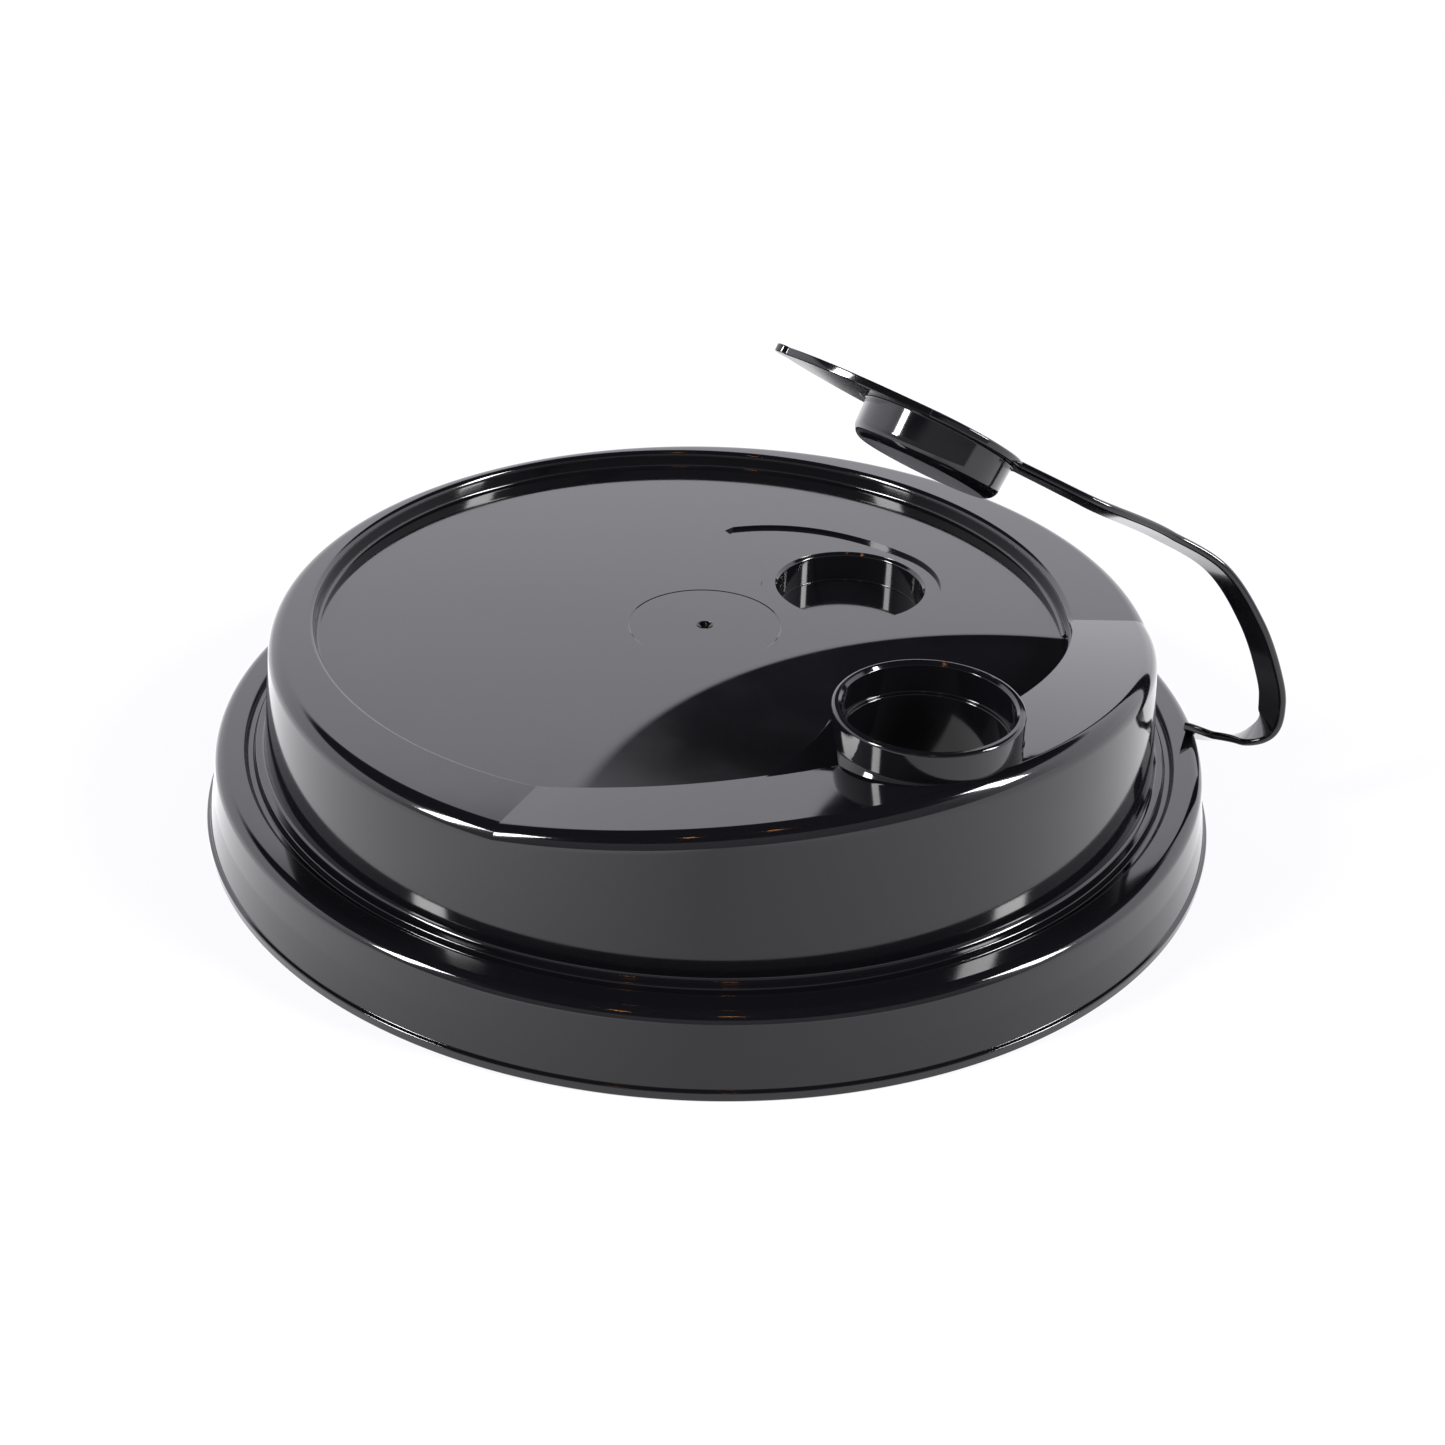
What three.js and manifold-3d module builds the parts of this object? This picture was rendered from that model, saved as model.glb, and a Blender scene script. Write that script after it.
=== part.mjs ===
// Takeaway cup lid for a 90 mm cup, moulded in one piece: snap skirt, raised dome with a sunk deck,
// drinking spout, and a stopper that hangs on a strap from the rim. Millimetres, +Z up.
import * as THREE from 'three';
import { mergeVertices } from 'three/addons/utils/BufferGeometryUtils.js';
import Module from 'manifold-3d';

const wasm = await Module();
wasm.setup();

// Walls and fineness
const wall = 0.8;
const turnedSides = 80;
const holeSides = 40;

// Skirt and bead, which snap over the brim of the cup
const skirtRadius = 47;
const skirtEdgeWidth = 0.9;
const skirtLipHeight = 0.8;
const skirtLipStep = 0.3;
const skirtTaper = 0.85;
const skirtWaistHeight = 3.8;
const beadTaper = 0.45;
const beadHeight = 7.3;
const beadRounding = 1.1;
const beadWidth = 2.6;
const grooveWidth = 1.0;
const grooveDepth = 0.6;
const skirtWaistRadius = skirtRadius - skirtTaper;
const beadRadius = skirtWaistRadius - beadTaper;
const grooveOuterRadius = beadRadius - beadWidth;
const grooveInnerRadius = grooveOuterRadius - grooveWidth;

// Ring under the groove that seals inside the brim
const sealFoot = 3.2;
const sealRadius = grooveInnerRadius + grooveWidth / 10;

// Dome that rises from the ledge
const ledgeWidth = 0.8;
const domeDraft = 1.1;
const domeHeight = 17.8;
const domeRounding = 1.4;
const footRounding = 0.4;
const domeFootRadius = grooveInnerRadius - ledgeWidth;
const domeTopRadius = domeFootRadius - domeDraft;

// Drinking side: the dome's top climbs there between two radial creases
const drinkAngle = -56;
const lipHalfAngle = 58.5;
const lipSlope = 0.2;

// Sunk deck, set back from the drinking side so that the ring round it is widest there
const ringWidth = 1.95;
const deckSetback = 3.55;
const deckDepth = 1.75;
const deckRadius = domeTopRadius - deckSetback - ringWidth;

// Shallow dished scoop that drains to the spout
const scoopAngle = -53.4;
const scoopDistance = deckRadius * 1.311;
const scoopRadius = deckRadius * 1.102;
const scoopSlope = 0.1;

// Spout
const spoutInset = 8.9;
const spoutDistance = domeTopRadius - spoutInset;
const spoutRadius = 7.85;
const spoutBoreRadius = 7.05;
const spoutThroatRadius = 6.7;
const spoutTop = 24;
const spoutThroatDepth = 2.8;
const spoutRootRadius = 8.4;
const webReach = 13.7;
const webStart = 3;
const webBow = 6.6;

// Pocket that parks the stopper, with a shallow seat for its disc and tab
const pocketAcross = deckRadius * 0.378;
const pocketBack = deckRadius * 0.331;
const pocketRadius = 6.98;
const pocketDepth = 3.3;
const edgeBevel = 0.35;
const seatDepth = 0.33;
const seatRadius = 8.75;
const seatLength = 16.2;
const seatTip = 0.6;
const seatShoulder = 0.72;
const seatHollow = 0.3;
const seatHeelAngle = 310;
const seatAngle = 137;

// Gate mark left by the moulding
const gateAcross = deckRadius * -0.023;
const gateBack = deckRadius * 0.0505;
const gatePadRadius = 7.18;
const gatePadDepth = 0.12;
const gateDimpleRadius = 0.8;
const gateDimpleDepth = 0.4;

// Strap, a flat band from the rim to the stopper, and how far the stopper hangs above its root
const strapAngle = 1.2;
const strapDrop = 0.6;
const strapHeight = beadHeight - strapDrop;
const strapRise = 31;
const strapWidth = 4.2;
const strapThickness = 0.75;
const strapRootWidth = 7.4;
const strapRootLength = 2.6;
const strapSteps = 44;

// Stopper: disc, hollow plug below it and a pull tab
const discRadius = 7.7;
const discThickness = 0.75;
const plugTopRadius = 7.0;
const plugFootRadius = 6.85;
const plugLength = 3.4;
const plugBevel = 0.9;
const tabReach = 15.4;
const tabRootWidth = 9;
const tabTipRadius = 1.1;
const tabShoulder = 0.72;

const degrees = THREE.MathUtils.degToRad;
const point = (x, y) => new THREE.Vector2(x, y);

// Point at a distance and an angle from the dome's axis
function polar(distance, angle, height = 0) {
  return new THREE.Vector3(
    distance * Math.cos(degrees(angle)), distance * Math.sin(degrees(angle)), height);
}

// Points of an arc from one angle to another
function arc(centreX, centreY, radius, from, to, steps) {
  const points = [];
  for (let i = 0; i <= steps; i += 1) {
    const angle = degrees(from + ((to - from) * i) / steps);
    points.push(point(centreX + radius * Math.cos(angle), centreY + radius * Math.sin(angle)));
  }
  return points;
}

// Closed geometry to solid and back
function solid(geometry) {
  const bare = geometry.clone();
  bare.deleteAttribute('normal');
  bare.deleteAttribute('uv');
  const merged = mergeVertices(bare, 1e-5);
  return new wasm.Manifold(new wasm.Mesh({
    numProp: 3,
    vertProperties: Float32Array.from(merged.attributes.position.array),
    triVerts: Uint32Array.from(merged.index.array),
  }));
}

function toGeometry(body) {
  const mesh = body.getMesh();
  const geometry = new THREE.BufferGeometry();
  geometry.setAttribute('position', new THREE.BufferAttribute(mesh.vertProperties, 3));
  geometry.setIndex(new THREE.BufferAttribute(mesh.triVerts, 1));
  geometry.computeVertexNormals();
  return geometry;
}

// Turned geometry about +Z, from a profile that runs up the outside from axis to axis.
// Its first division lies on the drinking side, so that the lip's creases fall on divisions.
function turned(profile, sides = turnedSides) {
  const start = degrees(drinkAngle + 90);
  return new THREE.LatheGeometry(profile, sides, start).rotateX(Math.PI / 2);
}

function cylinder(radius, bottom, top, centre, sides = holeSides) {
  const profile = [point(0, bottom), point(radius, bottom), point(radius, top), point(0, top)];
  return turned(profile, sides).translate(centre.x, centre.y, 0);
}

// Height that the drinking side adds to the dome's top at a place
function lipRise(x, y) {
  const turn = Math.atan2(y, x) - degrees(drinkAngle);
  const lift = Math.cos(turn) - Math.cos(degrees(lipHalfAngle));
  return lipSlope * Math.hypot(x, y) * Math.max(0, lift);
}

// Stretches a turned geometry upward so that its top follows the lip
function raiseLip(geometry, base, top) {
  const position = geometry.attributes.position;
  for (let i = 0; i < position.count; i += 1) {
    const share = THREE.MathUtils.clamp((position.getZ(i) - base) / (top - base), 0, 1);
    position.setZ(i, position.getZ(i) + share * lipRise(position.getX(i), position.getY(i)));
  }
  return geometry;
}

const deckHeight = domeHeight - deckDepth;
const deckCentre = polar(-deckSetback, drinkAngle);
const scoopCentre = polar(scoopDistance, scoopAngle);
const spoutCentre = polar(spoutDistance, drinkAngle);
const pocketCentre = new THREE.Vector3(pocketAcross, pocketBack, 0);
const gateCentre = new THREE.Vector3(gateAcross, gateBack, 0);
const aboveAll = spoutTop * 1.4;
const belowAll = -wall;

// Outside of skirt, bead, ledge and dome, filled
function outerBody() {
  const beadCentreRadius = beadRadius - beadRounding;
  const domeCentreRadius = domeTopRadius - domeRounding;
  const profile = [
    point(0, 0),
    point(skirtRadius, 0),
    point(skirtRadius, skirtLipHeight),
    point(skirtRadius - skirtLipStep, skirtLipHeight + skirtLipStep / 2),
    point(skirtWaistRadius, skirtWaistHeight),
    ...arc(beadCentreRadius, beadHeight - beadRounding, beadRounding, 0, 90, 5),
    point(grooveOuterRadius, beadHeight),
    point(grooveOuterRadius - grooveWidth / 4, beadHeight - grooveDepth),
    point(grooveInnerRadius + grooveWidth / 4, beadHeight - grooveDepth),
    point(grooveInnerRadius, beadHeight),
    ...arc(domeFootRadius + footRounding, beadHeight + footRounding, footRounding, 270, 180, 2),
    ...arc(domeCentreRadius, domeHeight - domeRounding, domeRounding, 0, 90, 5),
    point(0, domeHeight),
  ];
  return solid(raiseLip(turned(profile), beadHeight, domeHeight));
}

// Space under the lid: brim channel, seal ring and the hollow of the dome
function underside() {
  const channelTop = beadHeight - wall;
  const channelRounding = beadRounding - wall / 2;
  const channelRadius = beadRadius - wall;
  const domeInner = domeTopRadius - wall;
  const profile = [
    point(0, belowAll),
    point(skirtRadius - skirtEdgeWidth, belowAll),
    point(skirtRadius - skirtEdgeWidth, 0),
    point(skirtWaistRadius - wall, skirtWaistHeight),
    ...arc(channelRadius - channelRounding, channelTop - channelRounding, channelRounding, 0, 90, 3),
    point(grooveOuterRadius + wall / 2, channelTop),
    point(grooveOuterRadius, channelTop - grooveDepth),
    point(sealRadius, channelTop - grooveDepth),
    point(sealRadius, sealFoot + wall / 2),
    point(sealRadius - wall / 4, sealFoot),
    point(sealRadius - wall, sealFoot),
    point(domeFootRadius - wall, beadHeight - wall / 2),
    ...arc(domeInner - wall, domeHeight - 2 * wall, wall, 0, 90, 3),
    point(0, domeHeight - wall),
  ];
  return solid(raiseLip(turned(profile), beadHeight, domeHeight - wall));
}

// Room above the deck and its scoop. Grown by a wall, the same form is what the deck keeps.
function deckSpace(growth) {
  const radius = deckRadius + growth;
  const floor = deckHeight - growth;
  const well = solid(cylinder(radius, floor, aboveAll, deckCentre, turnedSides));
  const scoopFloor = floor - scoopSlope * scoopRadius;
  const scoopProfile = [
    point(0, scoopFloor), point(scoopRadius, floor), point(scoopRadius, aboveAll), point(0, aboveAll)];
  const scoop = solid(turned(scoopProfile).translate(scoopCentre.x, scoopCentre.y, 0));
  const bound = solid(cylinder(radius, scoopFloor, aboveAll, deckCentre, turnedSides));
  return well.add(scoop.intersect(bound));
}

// Corner webs: the ring's inner edge runs in a hollow curve to the spout on both sides
function spoutWebs() {
  const outline = new THREE.Shape();
  outline.moveTo(0, -webReach);
  outline.lineTo(-webStart, -webReach);
  outline.quadraticCurveTo(-webBow, -webReach / 2, -spoutRootRadius, 0);
  outline.quadraticCurveTo(-webBow, webReach / 2, -webStart, webReach);
  outline.lineTo(0, webReach);
  const settings = { depth: aboveAll, bevelEnabled: false, curveSegments: 5 };
  const webs = new THREE.ExtrudeGeometry(outline, settings);
  webs.rotateZ(degrees(drinkAngle)).translate(spoutCentre.x, spoutCentre.y, 0);
  return solid(webs);
}

function spoutTube() {
  const bottom = deckHeight - scoopSlope * scoopRadius;
  const profile = [
    point(0, bottom), point(spoutRootRadius, bottom), point(spoutRootRadius, domeHeight),
    point(spoutRadius, domeHeight + wall), point(spoutRadius, spoutTop - wall / 4),
    point(spoutRadius - wall / 4, spoutTop), point(0, spoutTop)];
  return solid(turned(profile, holeSides).translate(spoutCentre.x, spoutCentre.y, 0));
}

function spoutBore() {
  const throatTop = spoutTop - spoutThroatDepth;
  const profile = [
    point(0, 0), point(spoutThroatRadius, 0), point(spoutThroatRadius, throatTop),
    point(spoutBoreRadius, throatTop), point(spoutBoreRadius, aboveAll), point(0, aboveAll)];
  return solid(turned(profile, holeSides).translate(spoutCentre.x, spoutCentre.y, 0));
}

function pocketCup() {
  const bottom = deckHeight - pocketDepth - wall;
  return solid(cylinder(pocketRadius + wall, bottom, deckHeight, pocketCentre));
}

// Pocket bore, bevelled where it meets the seat
function pocketBore() {
  const floor = deckHeight - pocketDepth;
  const mouth = deckHeight - seatDepth;
  const profile = [
    point(0, floor), point(pocketRadius - edgeBevel, floor), point(pocketRadius, floor + edgeBevel),
    point(pocketRadius, mouth - edgeBevel), point(pocketRadius + edgeBevel, mouth),
    point(pocketRadius + edgeBevel, aboveAll), point(0, aboveAll)];
  return solid(turned(profile, holeSides).translate(pocketCentre.x, pocketCentre.y, 0));
}

// Seat of the parked stopper: a circle with one full side and one hollow side running to a tip
function seatSolid(bottom, top, growth) {
  const radius = seatRadius + growth;
  const outline = new THREE.Shape();
  outline.moveTo(seatLength + growth, seatTip);
  outline.quadraticCurveTo(seatLength * seatShoulder, radius, 0, radius);
  outline.absarc(0, 0, radius, Math.PI / 2, degrees(seatHeelAngle), false);
  outline.quadraticCurveTo(seatLength / 2, -radius * seatHollow, seatLength + growth, -seatTip);
  const settings = { depth: top - bottom, bevelEnabled: false, curveSegments: 20 };
  const seat = new THREE.ExtrudeGeometry(outline, settings);
  seat.rotateZ(degrees(seatAngle)).translate(pocketCentre.x, pocketCentre.y, bottom);
  return solid(seat);
}

function gateMark() {
  const pad = solid(cylinder(gatePadRadius, deckHeight - gatePadDepth, aboveAll, gateCentre));
  const floor = deckHeight - gatePadDepth;
  const profile = [
    point(0, floor - gateDimpleDepth), point(gateDimpleRadius / 2, floor - gateDimpleDepth),
    point(gateDimpleRadius, floor), point(gateDimpleRadius, aboveAll), point(0, aboveAll)];
  return pad.add(solid(turned(profile, 16).translate(gateCentre.x, gateCentre.y, 0)));
}

// Line of the strap from the rim: out, up in a loop, and back over the lid to the stopper.
// Its points are shares of the strap's rise, counted from its root.
const strapRoot = polar(beadRadius - wall / 2, strapAngle, strapHeight);
const fromRoot = (x, y, z) => new THREE.Vector3(x, y, z).multiplyScalar(strapRise).add(strapRoot);
const plugCentre = fromRoot(-0.848, -0.11, 1);
const plugAxis = new THREE.Vector3(0.417, 0.405, 0.814).normalize();
const plugAlong = new THREE.Vector3(0.91, -0.215, -0.356).projectOnPlane(plugAxis).normalize();
const plugSide = plugAxis.clone().cross(plugAlong);
const onDisc = (distance) => plugCentre.clone()
  .addScaledVector(plugAlong, distance)
  .addScaledVector(plugAxis, strapThickness / 2);
const strapLine = new THREE.CatmullRomCurve3([
  fromRoot(0, 0, 0),
  fromRoot(0.081, -0.032, 0),
  fromRoot(0.161, -0.061, 0.019),
  fromRoot(0.213, -0.081, 0.074),
  fromRoot(0.219, -0.074, 0.158),
  fromRoot(0.194, -0.061, 0.255),
  fromRoot(0.126, -0.048, 0.403),
  fromRoot(0, -0.045, 0.574),
  fromRoot(-0.181, -0.071, 0.69),
  onDisc(discRadius * 1.84),
  onDisc(discRadius * 1.26),
  onDisc(discRadius * 0.87),
]);

// Directions across the band: they turn evenly from the loop to the stopper
const bandAtRoot = new THREE.Vector3(-0.3, 0.83, -0.47);

function strapFrames(steps) {
  const tangents = [];
  const normals = [];
  const binormals = [];
  for (let i = 0; i <= steps; i += 1) {
    const tangent = strapLine.getTangentAt(i / steps);
    const across = bandAtRoot.clone().lerp(plugSide, i / steps).projectOnPlane(tangent).normalize();
    tangents.push(tangent);
    normals.push(across);
    binormals.push(tangent.clone().cross(across));
  }
  return { tangents, normals, binormals };
}

function strapBand() {
  strapLine.computeFrenetFrames = strapFrames;
  const half = strapWidth / 2;
  const thin = strapThickness / 2;
  const corner = strapThickness / 4;
  const section = new THREE.Shape([
    point(-half, -thin + corner), point(-half + corner, -thin), point(half - corner, -thin),
    point(half, -thin + corner), point(half, thin - corner), point(half - corner, thin),
    point(-half + corner, thin), point(-half, thin - corner)]);
  const settings = { steps: strapSteps, extrudePath: strapLine, bevelEnabled: false };
  return solid(new THREE.ExtrudeGeometry(section, settings));
}

// Flare where the strap leaves the rim
function strapFlare() {
  const root = strapRootWidth / 2;
  const half = (strapWidth - strapThickness / 4) / 2;
  const outline = new THREE.Shape();
  outline.moveTo(0, -root);
  outline.quadraticCurveTo(strapRootLength / 3, -half, strapRootLength, -half);
  outline.lineTo(strapRootLength, half);
  outline.quadraticCurveTo(strapRootLength / 3, half, 0, root);
  const settings = { depth: strapThickness, bevelEnabled: false, curveSegments: 6 };
  const flare = new THREE.ExtrudeGeometry(outline, settings);
  const frame = strapFrames(strapSteps);
  const along = frame.tangents[0];
  const across = frame.normals[0];
  const basis = new THREE.Matrix4().makeBasis(along, across, along.clone().cross(across));
  flare.translate(0, 0, -strapThickness / 2).applyMatrix4(basis);
  flare.translate(strapRoot.x, strapRoot.y, strapRoot.z);
  return solid(flare);
}

// Disc and tab lie in one plane. The plug below is open at the top and closed at its foot.
function stopper() {
  const cup = turned([
    point(0, -plugLength),
    point(plugFootRadius - plugBevel, -plugLength),
    point(plugFootRadius, -plugLength + plugBevel),
    point(plugTopRadius, 0),
    point(discRadius, 0),
    point(discRadius + discThickness / 5, discThickness / 2),
    point(discRadius, discThickness),
    point(plugTopRadius - wall, discThickness),
    point(plugFootRadius - wall, -plugLength + wall + plugBevel / 2),
    point(plugFootRadius - plugBevel - wall / 2, -plugLength + wall),
    point(0, -plugLength + wall),
  ], holeSides);
  const tip = tabReach - tabTipRadius;
  const root = tabRootWidth / 2;
  const outline = new THREE.Shape();
  outline.moveTo(wall / 2 - plugTopRadius, -root);
  outline.quadraticCurveTo(-tabReach * tabShoulder, -root * tabShoulder, -tip, -tabTipRadius);
  outline.absarc(-tip, 0, tabTipRadius, -Math.PI / 2, Math.PI / 2, true);
  outline.quadraticCurveTo(-tabReach * tabShoulder, root * tabShoulder, wall / 2 - plugTopRadius, root);
  const settings = { depth: discThickness, bevelEnabled: false, curveSegments: 10 };
  const tab = solid(new THREE.ExtrudeGeometry(outline, settings));
  const hollow = solid(cylinder(plugTopRadius - wall, wall - plugLength, aboveAll, new THREE.Vector3()));
  const placed = toGeometry(solid(cup).add(tab.subtract(hollow)));
  const frame = new THREE.Matrix4().makeBasis(plugAlong, plugSide, plugAxis).setPosition(plugCentre);
  return solid(placed.applyMatrix4(frame));
}

// Lid: the filled outside, hollowed from below and sunk from above, then its spout, pocket and strap
const rising = spoutTube().add(spoutWebs().intersect(outerBody()));
const shell = outerBody().subtract(underside().subtract(deckSpace(wall)));
const sunk = shell.subtract(deckSpace(0).subtract(rising));
const fitted = sunk
  .add(spoutTube())
  .add(pocketCup())
  .add(seatSolid(deckHeight - seatDepth - wall, deckHeight, wall));
const opened = fitted
  .subtract(spoutBore())
  .subtract(pocketBore())
  .subtract(seatSolid(deckHeight - seatDepth, aboveAll, 0))
  .subtract(gateMark());
const whole = opened.add(strapFlare()).add(strapBand()).add(stopper());

const geometry = toGeometry(whole);
geometry.computeBoundingBox();
const box = geometry.boundingBox;
const middle = box.getCenter(new THREE.Vector3());

const lid = new THREE.Mesh(geometry, new THREE.MeshStandardMaterial({
  color: 0x0b0b0d,
  roughness: 0.12,
  metalness: 0,
}));
lid.name = 'lid';
lid.position.set(-middle.x, -middle.y, -box.min.z);

const part = new THREE.Group();
part.add(lid);

export default part;
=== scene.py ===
import math

import bmesh
import bpy
from mathutils import Matrix, Vector


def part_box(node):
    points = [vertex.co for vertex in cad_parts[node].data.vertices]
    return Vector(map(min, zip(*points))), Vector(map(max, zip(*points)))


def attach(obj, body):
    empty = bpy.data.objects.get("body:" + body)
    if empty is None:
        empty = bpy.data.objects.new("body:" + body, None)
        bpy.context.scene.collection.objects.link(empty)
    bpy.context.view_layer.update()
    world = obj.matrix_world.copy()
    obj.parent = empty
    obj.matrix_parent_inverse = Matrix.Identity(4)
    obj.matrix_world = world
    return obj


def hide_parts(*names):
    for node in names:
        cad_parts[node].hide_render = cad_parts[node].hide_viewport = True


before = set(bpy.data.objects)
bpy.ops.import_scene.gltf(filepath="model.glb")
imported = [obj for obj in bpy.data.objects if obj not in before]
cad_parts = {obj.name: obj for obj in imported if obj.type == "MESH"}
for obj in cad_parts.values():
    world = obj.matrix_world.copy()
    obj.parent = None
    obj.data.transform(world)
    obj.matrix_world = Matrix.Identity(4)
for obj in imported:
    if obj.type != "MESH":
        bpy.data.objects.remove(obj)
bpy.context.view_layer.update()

# The lid is drawn in millimetres from the dome's axis, then set into the frame.
lidLow, lidHigh = (Vector(corner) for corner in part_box("lid"))
axisPlace = Vector((lidLow.x + (lidHigh.y - lidLow.y) / 2, (lidLow.y + lidHigh.y) / 2, lidLow.z))
millimetre = 0.001


def linearColour(hexValue):
    channels = [int(hexValue[i:i + 2], 16) / 255 for i in (1, 3, 5)]
    return [c / 12.92 if c <= 0.04045 else ((c + 0.055) / 1.055) ** 2.4 for c in channels] + [1.0]


def addNode(tree, kind, settings=None, links=None):
    node = tree.nodes.new(kind)
    for name, value in (settings or {}).items():
        if isinstance(name, int) or name in node.inputs:
            node.inputs[name].default_value = value
        else:
            setattr(node, name, value)
    for name, source in (links or {}).items():
        tree.links.new(source, node.inputs[name])
    return node


def emptyMaterial(name):
    material = bpy.data.materials.new(name)
    material.use_nodes = True
    material.node_tree.nodes.clear()
    return material


# Camera, set where the photograph was taken from
camera = {
    "distance": 179.23,      # mm from the dome's axis, along the table
    "height": 111.79,        # mm above the table
    "yaw": 0.0063,           # radians
    "pitch": 0.5309,
    "roll": -0.0330,
    "focal": 2200.0,         # in pixels of the frame
    "frame": 1445.0,
    "sensor": 36.0,          # mm
    "nearest": 0.005,        # metres
}


def placeCamera():
    yaw, pitch, roll = camera["yaw"], camera["pitch"], camera["roll"]
    forward = Vector((
        math.sin(yaw) * math.cos(pitch), math.cos(yaw) * math.cos(pitch), -math.sin(pitch)))
    level = Vector((math.cos(yaw), -math.sin(yaw), 0))
    sink = forward.cross(level)
    right = math.cos(roll) * level + math.sin(roll) * sink
    down = math.cos(roll) * sink - math.sin(roll) * level
    lens = bpy.data.cameras.new("camera")
    lens.sensor_width = camera["sensor"]
    lens.lens = camera["sensor"] * camera["focal"] / camera["frame"]
    lens.clip_start = camera["nearest"]
    eye = bpy.data.objects.new("camera", lens)
    place = axisPlace + Vector((0, -camera["distance"], camera["height"])) * millimetre
    turn = Matrix((right, -down, -forward)).transposed().to_4x4()
    eye.matrix_world = Matrix.Translation(place) @ turn
    bpy.context.scene.collection.objects.link(eye)
    bpy.context.scene.camera = eye


placeCamera()
print("camera placed")


# Polypropylene dyed black in the melt and injection moulded in a polished tool: nearly all that
# the eye sees is the mirrored room, a little softened, with hardly any colour of its own.
blackPlastic = {
    "colour": "#0c0c0f",
    "ior": 1.49,
    "waviness": 14.0,        # mm between the slow swells that the mould leaves
    "waveDepth": 0.004,      # mm
    "hazePatch": 7.0,        # mm across the patches that handling dulls
    "hazeFrom": 0.06,        # roughness
    "hazeTo": 0.10,
    "hazeStart": 0.35,       # the share of the noise at which the dulling starts
    "hazeEnd": 0.7,
}


def mouldedPolypropylene():
    look = blackPlastic
    material = emptyMaterial("polypropylene, moulded glossy black")
    tree = material.node_tree
    place = addNode(tree, "ShaderNodeTexCoord")
    swell = addNode(
        tree, "ShaderNodeTexNoise",
        {"Scale": 1 / (look["waviness"] * millimetre), "Detail": 1.0, "Roughness": 0.4},
        {"Vector": place.outputs["Object"]})
    haze = addNode(
        tree, "ShaderNodeTexNoise",
        {"Scale": 1 / (look["hazePatch"] * millimetre), "Detail": 4.0, "Roughness": 0.6},
        {"Vector": place.outputs["Object"]})
    dulled = addNode(
        tree, "ShaderNodeMapRange",
        {"From Min": look["hazeStart"], "From Max": look["hazeEnd"],
         "To Min": look["hazeFrom"], "To Max": look["hazeTo"]},
        {"Value": haze.outputs["Fac"]})
    bump = addNode(
        tree, "ShaderNodeBump",
        {"Strength": 1.0, "Distance": look["waveDepth"] * millimetre},
        {"Height": swell.outputs["Fac"]})
    plastic = addNode(
        tree, "ShaderNodeBsdfPrincipled",
        {"Base Color": linearColour(look["colour"]), "IOR": look["ior"]},
        {"Roughness": dulled.outputs["Result"], "Normal": bump.outputs["Normal"]})
    addNode(tree, "ShaderNodeOutputMaterial", None, {"Surface": plastic.outputs["BSDF"]})
    return material


# Turning, cutting and joining
fineness = {
    "shownSides": 400,       # facets round the dome and the deck
    "hiddenSides": 200,      # and round the underside
    "holeSides": 160,
    "dimpleSides": 48,
    "arcStep": 9.0,          # degrees of a rounding per facet
    "bowSteps": 24,
    "seatSteps": 64,
    "tipSteps": 16,
    "roundingShare": 0.48,   # the most that a rounding takes of the sides it lies between
    "smoothBelow": 28.0,     # degrees between facets that still shade as one surface
    "creaseAbove": 1.0,      # degrees between facets at the lip's marked creases
    "creaseWithin": 0.05,    # degrees round the dome
    "bevelAbove": 40.0,      # degrees between facets at an edge that is rounded off
    "levelAbove": 0.98,      # the upward share of the normal of a facet that counts as level
}


# Corners are (across, up, rounding). Each corner with a rounding becomes an arc.
def rounded(corners):
    points = []
    for i, (x, y, radius) in enumerate(corners):
        here = Vector((x, y))
        if radius == 0 or i in (0, len(corners) - 1):
            points.append(here)
            continue
        toLast = Vector(corners[i - 1][:2]) - here
        toNext = Vector(corners[i + 1][:2]) - here
        half = toLast.angle(toNext) / 2
        most = fineness["roundingShare"]
        reach = min(radius / math.tan(half), most * toLast.length, most * toNext.length)
        fillet = reach * math.tan(half)
        toLast.normalize()
        toNext.normalize()
        centre = here + (toLast + toNext).normalized() * fillet / math.sin(half)
        start = here + toLast * reach - centre
        end = here + toNext * reach - centre
        sweep = math.atan2(start.x * end.y - start.y * end.x, start.dot(end))
        steps = max(2, math.ceil(math.degrees(abs(sweep)) / fineness["arcStep"]))
        for step in range(steps + 1):
            angle = sweep * step / steps
            points.append(centre + Vector((
                start.x * math.cos(angle) - start.y * math.sin(angle),
                start.x * math.sin(angle) + start.y * math.cos(angle))))
    return points


def meshObject(name, vertices, faces):
    mesh = bpy.data.meshes.new(name)
    mesh.from_pydata(vertices, [], faces)
    mesh.validate()
    made = bpy.data.objects.new(name, mesh)
    bpy.context.scene.collection.objects.link(made)
    return made


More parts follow.
